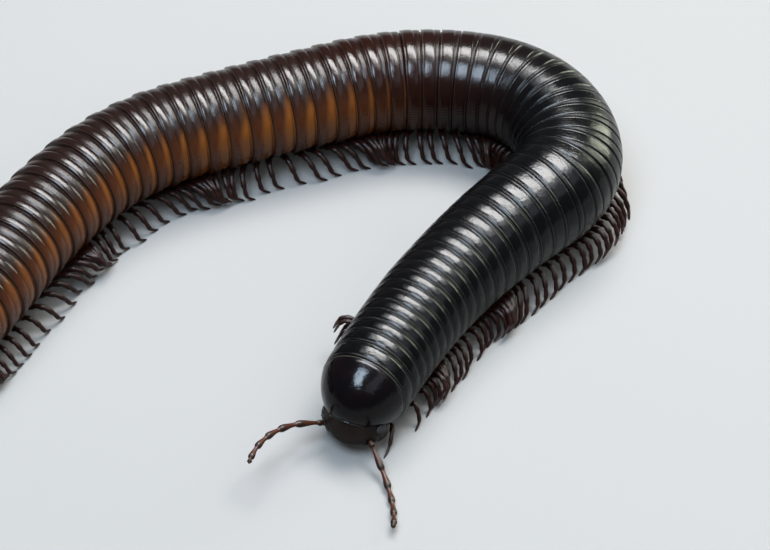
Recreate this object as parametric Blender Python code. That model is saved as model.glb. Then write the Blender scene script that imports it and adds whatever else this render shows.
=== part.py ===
# A giant African millipede at life size, still, on a flat floor. Metres, +Z up.
# Its front part walks towards -Y, the body turns back on itself at +X, and the tail lies at -X.
# Lengths along the body are measured from the front edge of the collum towards the tail.

import bpy
import bmesh
from math import asin, cos, floor, pi, radians, sin, sqrt, tau
from mathutils import Matrix, Vector

MM = 0.001
GAP = 0.3 * MM
WELD = 0.01 * MM
UP = Vector((0, 0, 1))
SHARP_ANGLE = 35.0
# How far the cutting blocks reach
FAR = 30.0 * MM

# The plan: where the body starts, which way its tail end points there, and stretches
# of (length, turn in degrees) that are eased into one another
START = (-7.0 * MM, -40.95 * MM)
START_HEADING = 65.6
STRETCHES = (
    (30.0 * MM, -10.3), (31.5 * MM, -14.0), (9.4 * MM, 44.2), (25.5 * MM, 78.3), (25.4 * MM, 34.6),
    (32.0 * MM, 3.2), (22.0 * MM, 30.6), (26.6 * MM, 13.2), (16.0 * MM, -12.0), (26.0 * MM, -22.0))
EASING = 14.0 * MM
PLAN_STEP = 0.5 * MM

# The body: radius and height of the belly along it
RADII = ((0.0, 7.5), (8.0, 7.7), (14.0, 7.9), (35.0, 8.4), (62.0, 9.5), (90.0, 9.2), (150.0, 8.95), (200.0, 8.7),
         (216.0, 7.9), (226.0, 6.6), (232.0, 6.0))
BELLY_HEIGHTS = ((0.0, 1.1), (6.0, 1.3), (28.0, 3.0), (212.0, 3.0), (226.0, 2.6))
BELLY_FLATNESS = 0.92
SIDES = 16

# The rings: ring 1 is the collum, then (ring number, length) from which the others are read.
# Each is narrow at its front groove, widens to a shoulder and is widest at its rear rim
COLLUM_LENGTH = 8.2 * MM
RING_COUNT = 66
RING_LENGTHS = ((2, 3.1), (3, 2.5), (4, 2.2), (8, 2.2), (12, 2.6), (15, 3.1), (24, 3.3), (36, 3.4),
                (42, 4.1), (58, 4.1), (66, 2.6))
RINGS_PER_NODE = 5
GROOVE_DEPTH = 0.5 * MM
SHOULDER_DEPTH = 0.12 * MM
SHOULDER_PLACE = 0.34
RIM_PLACE = 0.86
LAST_BLACK_RING = 21
LAST_BROWN_RING = 36

# The legs: none on the collum, one pair a ring up to ring 4, two after it, none on the last two.
# Their sizes are those of a ring of the reference radius
FIRST_DOUBLE_RING = 5
SINGLE_PLACES = (0.5,)
DOUBLE_PLACES = (0.27, 0.77)
LEGLESS_TAIL_RINGS = 2
REFERENCE_RADIUS = 9.2 * MM
LEG_REACH = 11.0 * MM
KNEE_REACH = 8.8 * MM
KNEE_HEIGHT = 4.6 * MM
KNEE_CLEARANCE = 0.8 * MM
HIP_REACH = 3.3 * MM
HIP_DROP = 0.75 * MM
ROOT_REACH = 1.5 * MM
ROOT_DEPTH = 1.3 * MM
LEG_RADIUS = 0.5 * MM
WIDEST_LEG_SHARE = 0.34
KNEE_RADIUS_SHARE = 0.9
FOOT_RADIUS = 0.3 * MM
LEG_SWEEP = 1.6 * MM
HIP_SHARE_OF_SWEEP = 0.1
KNEE_SHARE_OF_SWEEP = 0.35
FRONT_REACHES = ((2.5, 0.7), (3.5, 1.0))
FRONT_SWEEPS = ((2.5, 2.5), (3.5, 0.0))
TIGHTEST_FAN = 0.5
FAN_FOR_DOUBLE_LEGS = 0.75

# The step: waves of this many rings run along the legs, which bunch and lift once a wave
STEP_WAVE_RINGS = 8.0
STEP_WAVE_START = 7.1
STEP_SHARE = 0.06
STEP_LIFT = 1.5 * MM
STEP_SPREAD = 1.0 * MM
KNEE_SHARE_OF_LIFT = 0.35
RAISED_PLACE = 7.6
RAISED_HALF_WIDTH = 1.1
RAISED_LIFT = 4.4 * MM
RAISED_SPREAD = 1.2 * MM

# The head, in its own frame: x to the animal's right, y ahead, z up, under the start
HEADING_LENGTH = 3.0 * MM
HEAD_CENTRE = (-0.1 * MM, -4.7 * MM, 4.5 * MM)
HEAD_SIZE = (5.65 * MM, 4.5 * MM, 3.5 * MM)
EYE_PLACE = (5.0 * MM, -3.7 * MM, 5.6 * MM)
EYE_SIZE = (1.0 * MM, 0.8 * MM, 0.5 * MM)
MANDIBLE_INNER = 3.2 * MM
MANDIBLE_TOP = 4.1 * MM
MANDIBLE_FRONT = -2.9 * MM
LIP_TOP = 2.4 * MM
LIP_FRONT = -2.2 * MM

# The collum is the end of a long dome, cut off below its front edge, which slopes down tailwards
DOME_BACK = 11.9 * MM
DOME_AHEAD = 11.2 * MM
DOME_RADIUS = 8.05 * MM
DOME_LAST_ANGLE = 84.0
DOME_STEPS = 7
COLLUM_EDGE = (0.0, -0.7 * MM, 7.9 * MM)
COLLUM_EDGE_SLOPE = 50.0

# The antennae: segment lengths and greatest radii, the (place, share of the radius) that make
# a segment a club, and for each side the base, the first direction (degrees to the right of
# ahead, degrees up) and its change a segment
ANTENNA_SEGMENTS = ((1.6, 0.55), (3.4, 0.52), (3.2, 0.5), (2.9, 0.5), (2.8, 0.52), (2.6, 0.54), (1.0, 0.4))
ANTENNA_CLUB = ((0.06, 0.62), (0.7, 0.95), (0.9, 1.0))
ANTENNA_TIP_SHARE = 0.6
ANTENNAE = {
    "right": ((4.3 * MM, -1.9 * MM, 4.1 * MM), (51.4, 26.3), (-10.8, -5.65)),
    "left": ((-4.2 * MM, -1.7 * MM, 4.3 * MM), (-56.1, -35.0), (6.3, 10.2))}

# The tail end
TELSON_LENGTH = 5.6 * MM
TELSON_ANGLES = (11.0, 28.0, 45.0, 60.0, 74.0, 86.0)
VALVE_START = 2.2 * MM
VALVE_TOP_SHARE = 0.45

FINISHES = {
    "black shell": ((0.012, 0.010, 0.011), 0.22),
    "brown shell": ((0.060, 0.022, 0.012), 0.24),
    "amber shell": ((0.150, 0.058, 0.020), 0.28),
    "horn": ((0.220, 0.080, 0.030), 0.35),
    "eye": ((0.004, 0.004, 0.005), 0.12)}


# A value read between stations of (place, value), both in the stations' own units
def between(stations, place):
    if place <= stations[0][0]:
        return stations[0][1]
    for (a, low), (b, high) in zip(stations, stations[1:]):
        if place <= b:
            return low + (high - low) * (place - a) / (b - a)
    return stations[-1][1]


# The plan as points with headings and turns, one a step
def trace_plan():
    turns = []
    for length, turn in STRETCHES:
        steps = round(length / PLAN_STEP)
        turns += [radians(turn) / steps] * steps
    reach = round(EASING / PLAN_STEP / 2)
    weights = [1 + cos(pi * k / (reach + 1)) for k in range(-reach, reach + 1)]
    eased = []
    for i in range(len(turns)):
        near = [turns[min(max(i + k, 0), len(turns) - 1)] for k in range(-reach, reach + 1)]
        eased.append(sum(w * t for w, t in zip(weights, near)) / sum(weights))
    x, y = START
    heading = radians(START_HEADING)
    plan = [(x, y, heading, eased[0] / PLAN_STEP)]
    for turn in eased:
        heading += turn
        x += PLAN_STEP * cos(heading)
        y += PLAN_STEP * sin(heading)
        plan.append((x, y, heading, turn / PLAN_STEP))
    return plan


PLAN = trace_plan()


# Place, tailward direction, direction to the animal's right and turn rate at a length
def plan_at(length):
    place = min(max(length / PLAN_STEP, 0), len(PLAN) - 1.001)
    i = floor(place)
    part = place - i
    x, y, heading, turn = (a + (b - a) * part for a, b in zip(PLAN[i], PLAN[i + 1]))
    back = Vector((cos(heading), sin(heading), 0))
    right = Vector((-sin(heading), cos(heading), 0))
    return Vector((x, y, 0)) + back * min(length, 0), back, right, turn


def body_radius(length):
    return between(RADII, length / MM) * MM


def belly_height(length):
    return between(BELLY_HEIGHTS, length / MM) * MM


def axis_height(length):
    return belly_height(length) + BELLY_FLATNESS * body_radius(length)


# The height of the body's underside at a distance out from the middle
def underside(length, out):
    radius = body_radius(length)
    drop = sqrt(max(radius ** 2 - out ** 2, 0))
    return axis_height(length) - min(drop, BELLY_FLATNESS * radius)


# Where each ring starts, with the body's end as the last value
def ring_starts():
    starts = [0.0, COLLUM_LENGTH]
    for ring in range(2, RING_COUNT + 1):
        starts.append(starts[-1] + between(RING_LENGTHS, ring) * MM)
    return starts


STARTS = ring_starts()


# One cross-section of the body: round, with the belly pressed flat
def section(length, radius, shift=0.0, height=None):
    centre, back, right, _ = plan_at(length)
    middle = axis_height(length) if height is None else height
    points = []
    for i in range(SIDES):
        angle = tau * (i + 0.5) / SIDES
        rise = max(sin(angle), -BELLY_FLATNESS) * radius
        points.append(centre + back * shift + right * cos(angle) * radius + UP * (middle + rise))
    return points


def new_object(name, mesh, collection, finish):
    obj = bpy.data.objects.new(name, mesh)
    collection.objects.link(obj)
    colour, roughness = FINISHES[finish]
    material = bpy.data.materials.new(name + " " + finish)
    material.use_nodes = True
    shader = material.node_tree.nodes["Principled BSDF"]
    shader.inputs["Base Color"].default_value = (*colour, 1)
    shader.inputs["Roughness"].default_value = roughness
    mesh.materials.clear()
    mesh.materials.append(material)
    return obj


# A solid skinned over unlike sections, closed by flat ends
def loft(name, sections):
    form = bmesh.new()
    rows = [[form.verts.new(point) for point in row] for row in sections]
    for row, following in zip(rows, rows[1:]):
        count = len(row)
        for i in range(count):
            j = (i + 1) % count
            form.faces.new((row[i], row[j], following[j], following[i]))
    form.faces.new(rows[0])
    form.faces.new(rows[-1])
    bmesh.ops.recalc_face_normals(form, faces=form.faces)
    mesh = bpy.data.meshes.new(name)
    form.to_mesh(mesh)
    form.free()
    return mesh


# A four-sided tube through points with a radius at each, its caps welded
def tube(name, points, radii):
    curve = bpy.data.curves.new(name, "CURVE")
    curve.dimensions = "3D"
    curve.bevel_depth = 1.0
    curve.bevel_resolution = 0
    curve.use_fill_caps = True
    curve.twist_mode = "Z_UP"
    spline = curve.splines.new("POLY")
    spline.points.add(len(points) - 1)
    for target, point, radius in zip(spline.points, points, radii):
        target.co = (*point, 1)
        target.radius = radius
    obj = bpy.data.objects.new(name, curve)
    bpy.context.scene.collection.objects.link(obj)
    mesh = bpy.data.meshes.new_from_object(obj.evaluated_get(bpy.context.evaluated_depsgraph_get()))
    bpy.data.objects.remove(obj)
    form = bmesh.new()
    form.from_mesh(mesh)
    bmesh.ops.remove_doubles(form, verts=form.verts, dist=WELD)
    bmesh.ops.recalc_face_normals(form, faces=form.faces)
    form.to_mesh(mesh)
    form.free()
    return mesh


# A rounded solid: a sphere scaled and placed in a frame
def ellipsoid(name, centre, size, frame, around=12, upward=6, grow=0.0):
    form = bmesh.new()
    bmesh.ops.create_uvsphere(form, u_segments=around, v_segments=upward, radius=1)
    scale = Matrix.Diagonal((size[0] + grow, size[1] + grow, size[2] + grow, 1))
    bmesh.ops.transform(form, matrix=frame @ Matrix.Translation(centre) @ scale, verts=form.verts)
    mesh = bpy.data.meshes.new(name)
    form.to_mesh(mesh)
    form.free()
    return mesh


# A block between two corners in a frame, after a turn about its x axis through a point
def block(name, low, high, frame, tilt=0.0, about=(0, 0, 0)):
    form = bmesh.new()
    bmesh.ops.create_cube(form, size=1)
    middle = [(a + b) / 2 for a, b in zip(low, high)]
    sizes = [b - a for a, b in zip(low, high)]
    turn = Matrix.Translation(about) @ Matrix.Rotation(tilt, 4, "X") @ Matrix.Translation(-Vector(about))
    place = frame @ turn @ Matrix.Translation(middle) @ Matrix.Diagonal((*sizes, 1))
    bmesh.ops.transform(form, matrix=place, verts=form.verts)
    mesh = bpy.data.meshes.new(name)
    form.to_mesh(mesh)
    form.free()
    return mesh


# The largest closed surface of a mesh, in place
def keep_largest(mesh):
    form = bmesh.new()
    form.from_mesh(mesh)
    unseen = set(form.verts)
    groups = []
    while unseen:
        waiting = [unseen.pop()]
        group = set(waiting)
        while waiting:
            for edge in waiting.pop().link_edges:
                for other in edge.verts:
                    if other in unseen:
                        unseen.discard(other)
                        group.add(other)
                        waiting.append(other)
        groups.append(group)
    groups.sort(key=len)
    for group in groups[:-1]:
        bmesh.ops.delete(form, geom=list(group), context="VERTS")
    form.to_mesh(mesh)
    form.free()


# Joins, cuts or keeps the overlap of a mesh with others, and applies it
def combine(name, mesh, others, operation):
    pieces = bpy.data.collections.new(name + " pieces")
    bpy.context.scene.collection.children.link(pieces)
    for number, other in enumerate(others):
        pieces.objects.link(bpy.data.objects.new(name + " piece " + str(number), other))
    obj = bpy.data.objects.new(name + " base", mesh)
    bpy.context.scene.collection.objects.link(obj)
    joint = obj.modifiers.new("join", "BOOLEAN")
    joint.operation = operation
    joint.operand_type = "COLLECTION"
    joint.collection = pieces
    joint.solver = "EXACT"
    bpy.context.view_layer.update()
    result = bpy.data.meshes.new_from_object(obj.evaluated_get(bpy.context.evaluated_depsgraph_get()))
    for piece in list(pieces.objects):
        bpy.data.objects.remove(piece)
    bpy.data.collections.remove(pieces)
    bpy.data.objects.remove(obj)
    keep_largest(result)
    return result


# Three points round a place, in the plane of two directions, the first point on the second one
def ring_of_three(place, along, across, radius):
    across = across.normalized()
    points = []
    for corner in range(3):
        angle = tau * corner / 3
        points.append(place + (across * cos(angle) + along * sin(angle)) * radius)
    return points


# How far the legs of one side fan in at a length: 1 where they have their whole reach
def leg_fold(length, side):
    turn = plan_at(length)[3]
    inward_turn = turn * side
    if inward_turn <= 0:
        return 1.0
    return min(1.0, TIGHTEST_FAN / inward_turn / LEG_REACH)


# One leg: out of the belly, up to the knee and down to a flat foot. Side is 1 on the right
def leg_mesh(length, side, spacing):
    centre, back, right, turn = plan_at(length)
    outward = right * side
    size = body_radius(length) / REFERENCE_RADIUS
    # On the inner side of a turn the legs reach less far, so that they stay apart
    fold = leg_fold(length, side)
    ring = ring_number(length)
    share = min(size, fold) * between(FRONT_REACHES, ring)
    reach = LEG_REACH * share
    knee_out = KNEE_REACH * share
    narrowing = 1 - max(turn * side, 0) * knee_out
    thickness = min(LEG_RADIUS * size, WIDEST_LEG_SHARE * spacing * narrowing)

    phase = tau * (ring - STEP_WAVE_START) / STEP_WAVE_RINGS
    swing = sin(phase) * STEP_SHARE * STEP_WAVE_RINGS * between(RING_LENGTHS, ring) * MM * fold
    bunch = max(0.0, cos(phase)) * fold ** 4
    raised = max(0.0, 1 - ((ring - RAISED_PLACE) / RAISED_HALF_WIDTH) ** 2) if side > 0 else 0.0
    lift = bunch * STEP_LIFT + raised * RAISED_LIFT
    spread = bunch * STEP_SPREAD + raised * RAISED_SPREAD

    def at(out, ahead, height):
        return centre + outward * out - back * ahead + UP * height

    belly = belly_height(length)
    foot_ahead = LEG_SWEEP * fold + swing + between(FRONT_SWEEPS, ring) * MM
    hip_ahead = HIP_SHARE_OF_SWEEP * foot_ahead
    knee_ahead = KNEE_SHARE_OF_SWEEP * foot_ahead
    knee_height = min(KNEE_HEIGHT * size, underside(length, knee_out) - KNEE_CLEARANCE)
    knee = at(knee_out + spread, knee_ahead, knee_height + KNEE_SHARE_OF_LIFT * lift)
    hip = at(HIP_REACH * size, hip_ahead, belly - HIP_DROP * size)
    rows = (
        ring_of_three(at(ROOT_REACH, 0, belly + ROOT_DEPTH), back, outward - UP, thickness),
        ring_of_three(hip, back, UP, thickness),
        ring_of_three(knee, back, UP + outward, KNEE_RADIUS_SHARE * thickness),
        ring_of_three(at(reach + spread, foot_ahead, lift), back, outward, FOOT_RADIUS * size))
    return loft("leg", rows)


# The ring that a length lies in, with the part of it that is passed
def ring_number(length):
    for ring in range(1, RING_COUNT + 1):
        if length < STARTS[ring]:
            return ring + (length - STARTS[ring - 1]) / (STARTS[ring] - STARTS[ring - 1])
    return RING_COUNT + 1.0


# A length of the trunk with its legs, from one ring up to another
def trunk_mesh(name, first, last):
    start = STARTS[first - 1]
    end = STARTS[last]
    rows = [section(start, body_radius(start) - GROOVE_DEPTH, GAP / 2)]
    for ring in range(first, last + 1):
        low = STARTS[ring - 1]
        size = STARTS[ring] - low
        if ring > first:
            rows.append(section(low, body_radius(low) - GROOVE_DEPTH))
        shoulder = low + SHOULDER_PLACE * size
        rim = low + RIM_PLACE * size
        rows.append(section(shoulder, body_radius(shoulder) - SHOULDER_DEPTH))
        rows.append(section(rim, body_radius(rim)))
    rows.append(section(end, body_radius(end) - GROOVE_DEPTH, -GAP / 2))
    body = loft(name, rows)
    legs = []
    for ring in range(first, min(last, RING_COUNT - LEGLESS_TAIL_RINGS) + 1):
        low = STARTS[ring - 1]
        size = STARTS[ring] - low
        places = DOUBLE_PLACES if ring >= FIRST_DOUBLE_RING else SINGLE_PLACES
        for side in (1, -1):
            # Where they fan in closest, the inner side keeps one leg a ring
            if leg_fold(low, side) < FAN_FOR_DOUBLE_LEGS:
                legs.append(leg_mesh(low + 0.5 * size, side, size))
                continue
            for place in places:
                legs.append(leg_mesh(low + place * size, side, size / len(places)))
    if legs:
        body = combine(name, body, legs, "UNION")
    return body


def head_frame():
    _, back, right, _ = plan_at(HEADING_LENGTH)
    axes = Matrix((right, -back, UP)).transposed().to_4x4()
    return Matrix.Translation(plan_at(0)[0]) @ axes


# The collum: a dome over the head, hollowed where the head and eyes sit
def collum_mesh(frame, sockets):
    first_angle = asin((DOME_BACK - COLLUM_LENGTH) / DOME_AHEAD)
    last_angle = radians(DOME_LAST_ANGLE)
    rows = []
    for step in range(DOME_STEPS + 1):
        angle = first_angle + (last_angle - first_angle) * step / DOME_STEPS
        length = DOME_BACK - DOME_AHEAD * sin(angle)
        shift = -GAP / 2 if step == 0 else 0.0
        rows.append(section(length, DOME_RADIUS * cos(angle), shift, axis_height(COLLUM_LENGTH)))
    dome = loft("dome", rows)
    head_room = ellipsoid("head room", HEAD_CENTRE, HEAD_SIZE, frame, 22, 12, grow=GAP)
    low = (-FAR, -FAR, -FAR)
    high = (FAR, FAR, COLLUM_EDGE[2])
    below = block("below", low, high, frame, radians(COLLUM_EDGE_SLOPE), COLLUM_EDGE)
    return combine("collum", dome, [head_room, below] + sockets, "DIFFERENCE")


# The frame of an eye: on the head's surface, looking straight out of it
def eye_frame(side, frame):
    place = Vector((EYE_PLACE[0] * side, EYE_PLACE[1], EYE_PLACE[2]))
    outward = place - Vector(HEAD_CENTRE)
    outward = Vector([part / size ** 2 for part, size in zip(outward, HEAD_SIZE)])
    return frame @ Matrix.Translation(place) @ outward.to_track_quat("Z", "Y").to_matrix().to_4x4()


def build_head(collection):
    frame = head_frame()
    whole = ellipsoid("whole", HEAD_CENTRE, HEAD_SIZE, frame, 22, 12)
    behind = block("behind", (-FAR, -FAR, -FAR), (FAR, GAP / 2 - COLLUM_LENGTH, FAR), frame)
    capsule = combine("capsule", whole, (behind,), "DIFFERENCE")
    cuts = []

    # The cheeks of the mandibles and the plate of the lower lip are parted from it by thin cuts
    for side, word in ((1, "right"), (-1, "left")):
        low = (MANDIBLE_INNER, -FAR, -FAR)
        high = (FAR, MANDIBLE_FRONT, MANDIBLE_TOP)
        cuts.append(block("room", *mirrored(low, high, side), frame))
        low = (MANDIBLE_INNER + GAP, -FAR, -FAR)
        high = (FAR, MANDIBLE_FRONT - GAP, MANDIBLE_TOP - GAP)
        cheek = block("cheek", *mirrored(low, high, side), frame)
        mandible = combine("mandible", capsule.copy(), (cheek,), "INTERSECT")
        new_object("mandible_" + word, mandible, collection, "black shell")
    half_room = MANDIBLE_INNER + GAP / 2
    cuts.append(block("room", (-half_room, -FAR, -FAR), (half_room, LIP_FRONT, LIP_TOP), frame))
    high = (MANDIBLE_INNER, LIP_FRONT - GAP, LIP_TOP - GAP)
    lip = block("lip", (-MANDIBLE_INNER, -FAR, -FAR), high, frame)
    new_object("gnathochilarium", combine("lip", capsule.copy(), (lip,), "INTERSECT"), collection, "brown shell")

    sockets = []
    for side, word in ((1, "right"), (-1, "left")):
        turned = eye_frame(side, frame)
        new_object("eye_" + word, ellipsoid("eye", (0, 0, 0), EYE_SIZE, turned), collection, "eye")
        sockets.append(ellipsoid("socket", (0, 0, 0), EYE_SIZE, turned, grow=GAP))
    collum = collum_mesh(frame, [socket.copy() for socket in sockets])
    new_object("collum", collum, collection, "black shell")
    cuts += sockets
    for word, (base, first, change) in ANTENNAE.items():
        new_object("antenna_" + word, antenna_mesh(base, first, change, frame), collection, "horn")
        room = ANTENNA_SEGMENTS[0][1] * MM + 2 * GAP
        cuts.append(ellipsoid("socket", base, (room, room, room), frame, 12, 8))
    new_object("head", combine("head", capsule, cuts, "DIFFERENCE"), collection, "black shell")


# Two corners of a block, or those of its mirror image
def mirrored(low, high, side):
    if side > 0:
        return low, high
    return (-high[0], low[1], low[2]), (-low[0], high[1], high[2])


# A feeler of club-shaped segments, each narrow at its base and wide near its end
def antenna_mesh(base, first, change, frame):
    place = Vector(base)
    yaw, pitch = first
    points = []
    radii = []
    for length, radius in ANTENNA_SEGMENTS:
        level = Vector((sin(radians(yaw)), cos(radians(yaw)), 0))
        ahead = level * cos(radians(pitch)) + UP * sin(radians(pitch))
        for part, share in ANTENNA_CLUB:
            points.append(frame @ (place + ahead * length * part * MM))
            radii.append(radius * share * MM)
        place = place + ahead * length * MM
        yaw += change[0]
        pitch += change[1]
    points.append(frame @ place)
    radii.append(ANTENNA_TIP_SHARE * radii[-1])
    return tube("antenna", points, radii)


# The telson: a rounded cap, with the two anal valves let into its end
def build_tail(collection):
    end = STARTS[RING_COUNT]
    radius = body_radius(end)
    rows = [section(end, radius - GROOVE_DEPTH, GAP / 2)]
    for angle in TELSON_ANGLES:
        shift = TELSON_LENGTH * sin(radians(angle))
        rows.append(section(end, radius * cos(radians(angle)), shift, axis_height(end)))
    whole = loft("telson", rows)
    centre, back, right, _ = plan_at(end)
    axes = Matrix((-right, back, UP)).transposed().to_4x4()
    frame = Matrix.Translation(centre) @ axes
    top = axis_height(end) + VALVE_TOP_SHARE * radius
    room = block("room", (-FAR, VALVE_START, -FAR), (FAR, FAR, top), frame)
    for side, word in ((1, "left"), (-1, "right")):
        low = (GAP / 2, VALVE_START + GAP, -FAR)
        high = (FAR, FAR, top - GAP)
        half = block("half", *mirrored(low, high, side), frame)
        valve = combine("valve", whole.copy(), (half,), "INTERSECT")
        new_object("anal_valve_" + word, valve, collection, "brown shell")
    new_object("telson", combine("telson", whole, (room,), "DIFFERENCE"), collection, "amber shell")


# Centres the plan on the origin, so that the animal's box stands on it
def centre_on_origin(collection):
    points = [vert.co for obj in collection.objects for vert in obj.data.vertices]
    middle_x = (min(point.x for point in points) + max(point.x for point in points)) / 2
    middle_y = (min(point.y for point in points) + max(point.y for point in points)) / 2
    for obj in collection.objects:
        obj.data.transform(Matrix.Translation((-middle_x, -middle_y, 0)))


def main():
    for obj in list(bpy.data.objects):
        bpy.data.objects.remove(obj)
    millipede = bpy.data.collections.new("millipede")
    bpy.context.scene.collection.children.link(millipede)
    build_head(millipede)
    node = 1
    for first in range(2, RING_COUNT + 1, RINGS_PER_NODE):
        last = min(first + RINGS_PER_NODE - 1, RING_COUNT)
        finish = "amber shell"
        if last <= LAST_BROWN_RING:
            finish = "brown shell"
        if last <= LAST_BLACK_RING:
            finish = "black shell"
        name = "trunk_%02d" % node
        new_object(name, trunk_mesh(name, first, last), millipede, finish)
        node += 1
    build_tail(millipede)
    centre_on_origin(millipede)
    for obj in millipede.objects:
        obj.data.shade_smooth()
        obj.data.set_sharp_from_angle(angle=radians(SHARP_ANGLE))


main()
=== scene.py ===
import bpy
import bmesh
import random
from math import acos, asin, atan2, cos, exp, floor, inf, pi, radians, sin, sqrt, tan, tau
from mathutils import Matrix, Vector


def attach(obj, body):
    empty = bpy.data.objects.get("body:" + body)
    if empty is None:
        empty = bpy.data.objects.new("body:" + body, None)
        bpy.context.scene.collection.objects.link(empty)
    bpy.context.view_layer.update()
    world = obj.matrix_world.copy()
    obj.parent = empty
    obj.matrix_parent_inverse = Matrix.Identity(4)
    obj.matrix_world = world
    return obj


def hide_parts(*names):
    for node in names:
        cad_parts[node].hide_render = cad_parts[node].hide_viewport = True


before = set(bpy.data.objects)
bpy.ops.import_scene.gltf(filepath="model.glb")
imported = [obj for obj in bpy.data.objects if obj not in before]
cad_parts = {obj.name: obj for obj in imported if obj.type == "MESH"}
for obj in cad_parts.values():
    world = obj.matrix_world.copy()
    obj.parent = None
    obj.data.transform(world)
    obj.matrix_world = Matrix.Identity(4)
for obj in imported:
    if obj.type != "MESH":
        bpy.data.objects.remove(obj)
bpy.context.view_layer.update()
mm = 0.001
up = Vector((0, 0, 1))
print("frame loaded")


# The body's plan, the same as the solids'

# lengths run tailwards from the collum's front edge, all in millimetres and degrees
body = dict(
    shift=(21.4487, 3.9955), start=(-7.0, -40.95), heading=65.6,
    stretches=((30.0, -10.3), (31.5, -14.0), (9.4, 44.2), (25.5, 78.3), (25.4, 34.6),
               (32.0, 3.2), (22.0, 30.6), (26.6, 13.2), (16.0, -12.0), (26.0, -22.0)),
    easing=14.0, step=0.5,
    radii=((0, 7.5), (8, 7.7), (14, 7.9), (35, 8.4), (62, 9.5), (90, 9.2), (150, 8.95), (200, 8.7),
           (216, 7.9), (226, 6.6), (232, 6.0)),
    bellies=((0, 1.1), (6, 1.3), (28, 3.0), (212, 3.0), (226, 2.6)),
    flatness=0.92, collum=8.2, rings=66,
    ringLengths=((2, 3.1), (3, 2.5), (4, 2.2), (8, 2.2), (12, 2.6), (15, 3.1), (24, 3.3), (36, 3.4),
                 (42, 4.1), (58, 4.1), (66, 2.6)))


def between(stations, place):
    if place <= stations[0][0]:
        return stations[0][1]
    for (a, low), (b, high) in zip(stations, stations[1:]):
        if place <= b:
            return low + (high - low) * (place - a) / (b - a)
    return stations[-1][1]


def tracePlan():
    turns = []
    for length, turn in body["stretches"]:
        steps = round(length / body["step"])
        turns += [radians(turn) / steps] * steps
    reach = round(body["easing"] / body["step"] / 2)
    weights = [1 + cos(pi * k / (reach + 1)) for k in range(-reach, reach + 1)]
    eased = []
    for i in range(len(turns)):
        near = [turns[min(max(i + k, 0), len(turns) - 1)] for k in range(-reach, reach + 1)]
        eased.append(sum(w * t for w, t in zip(weights, near)) / sum(weights))
    x, y = (a + b for a, b in zip(body["start"], body["shift"]))
    heading = radians(body["heading"])
    points = [(x, y, heading, eased[0] / body["step"])]
    for turn in eased:
        heading += turn
        x += body["step"] * cos(heading)
        y += body["step"] * sin(heading)
        points.append((x, y, heading, turn / body["step"]))
    return points


plan = tracePlan()


# place on the floor, tailward direction, direction to the animal's right, turn rate
def planAt(length):
    place = min(max(length / body["step"], 0), len(plan) - 1.001)          # just short of the last point
    i = floor(place)
    part = place - i
    x, y, heading, turn = (a + (b - a) * part for a, b in zip(plan[i], plan[i + 1]))
    back = Vector((cos(heading), sin(heading), 0))
    right = Vector((-sin(heading), cos(heading), 0))
    return Vector((x, y, 0)), back, right, turn


def radiusAt(length):
    return between(body["radii"], length)


def bellyAt(length):
    return between(body["bellies"], length)


def axisAt(length):
    return bellyAt(length) + body["flatness"] * radiusAt(length)


starts = [0.0, body["collum"]]
for ring in range(2, body["rings"] + 1):
    starts.append(starts[-1] + between(body["ringLengths"], ring))


def lengthAtRing(place):
    ring = min(floor(place), body["rings"])
    return starts[ring - 1] + (place - ring) * (starts[ring] - starts[ring - 1])


def ringAtLength(length):
    for ring in range(1, body["rings"] + 1):
        if length < starts[ring]:
            return ring + (length - starts[ring - 1]) / (starts[ring] - starts[ring - 1])
    return body["rings"] + 1.0


# Small helpers for node trees, for geometry and materials alike

# an output of a node, so that a sum of outputs can be written as a sum
class Flow:
    def __init__(self, node, output=0):
        self.tree = node.id_data
        self.socket = node.outputs[output]

    def __add__(self, other):
        return maths("ADD", self, other)

    __radd__ = __add__

    def __sub__(self, other):
        return maths("SUBTRACT", self, other)

    def __rsub__(self, other):
        return maths("SUBTRACT", other, self)

    def __mul__(self, other):
        return maths("MULTIPLY", self, other)

    def __truediv__(self, other):
        return maths("DIVIDE", self, other)


def plug(socket, value):
    if isinstance(value, Flow):
        value.tree.links.new(value.socket, socket)
    elif value is not None:
        socket.default_value = value


# a new node with its settings and with its inputs plugged in; gives one output of it
def nodeOf(tree, kind, inputs=None, output=0, **settings):
    node = tree.nodes.new(kind)
    for key, value in settings.items():
        setattr(node, key, value)
    for name, value in (inputs or {}).items():
        plug(node.inputs[name], value)
    return Flow(node, output)


def maths(operation, *values, kind="ShaderNodeMath"):
    tree = next(value.tree for value in values if isinstance(value, Flow))
    return nodeOf(tree, kind, dict(enumerate(values)), operation=operation)


def vectors(operation, *values):
    return maths(operation, *values, kind="ShaderNodeVectorMath")


def scaled(vector, factor):
    return nodeOf(vector.tree, "ShaderNodeVectorMath", {0: vector, "Scale": factor}, operation="SCALE")


def axisOf(vector, axis):
    return nodeOf(vector.tree, "ShaderNodeSeparateXYZ", {0: vector}, axis)


def clamped(value, low, high):
    return maths("MINIMUM", maths("MAXIMUM", value, low), high)


def smoothStep(value, low, high, bottom=0.0, top=1.0):
    ends = {"Value": value, "From Min": low, "From Max": high, "To Min": bottom, "To Max": top}
    return nodeOf(value.tree, "ShaderNodeMapRange", ends, interpolation_type="SMOOTHSTEP")


def curveOf(value, points):
    node = value.tree.nodes.new("ShaderNodeFloatCurve")
    curve = node.mapping.curves[0]
    while len(curve.points) < len(points):
        curve.points.new(0.5, 0.5)
    for target, (x, y) in zip(curve.points, points):
        target.location = (x, y)
        target.handle_type = "VECTOR"
    node.mapping.update()
    plug(node.inputs["Value"], value)
    return Flow(node)


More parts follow.
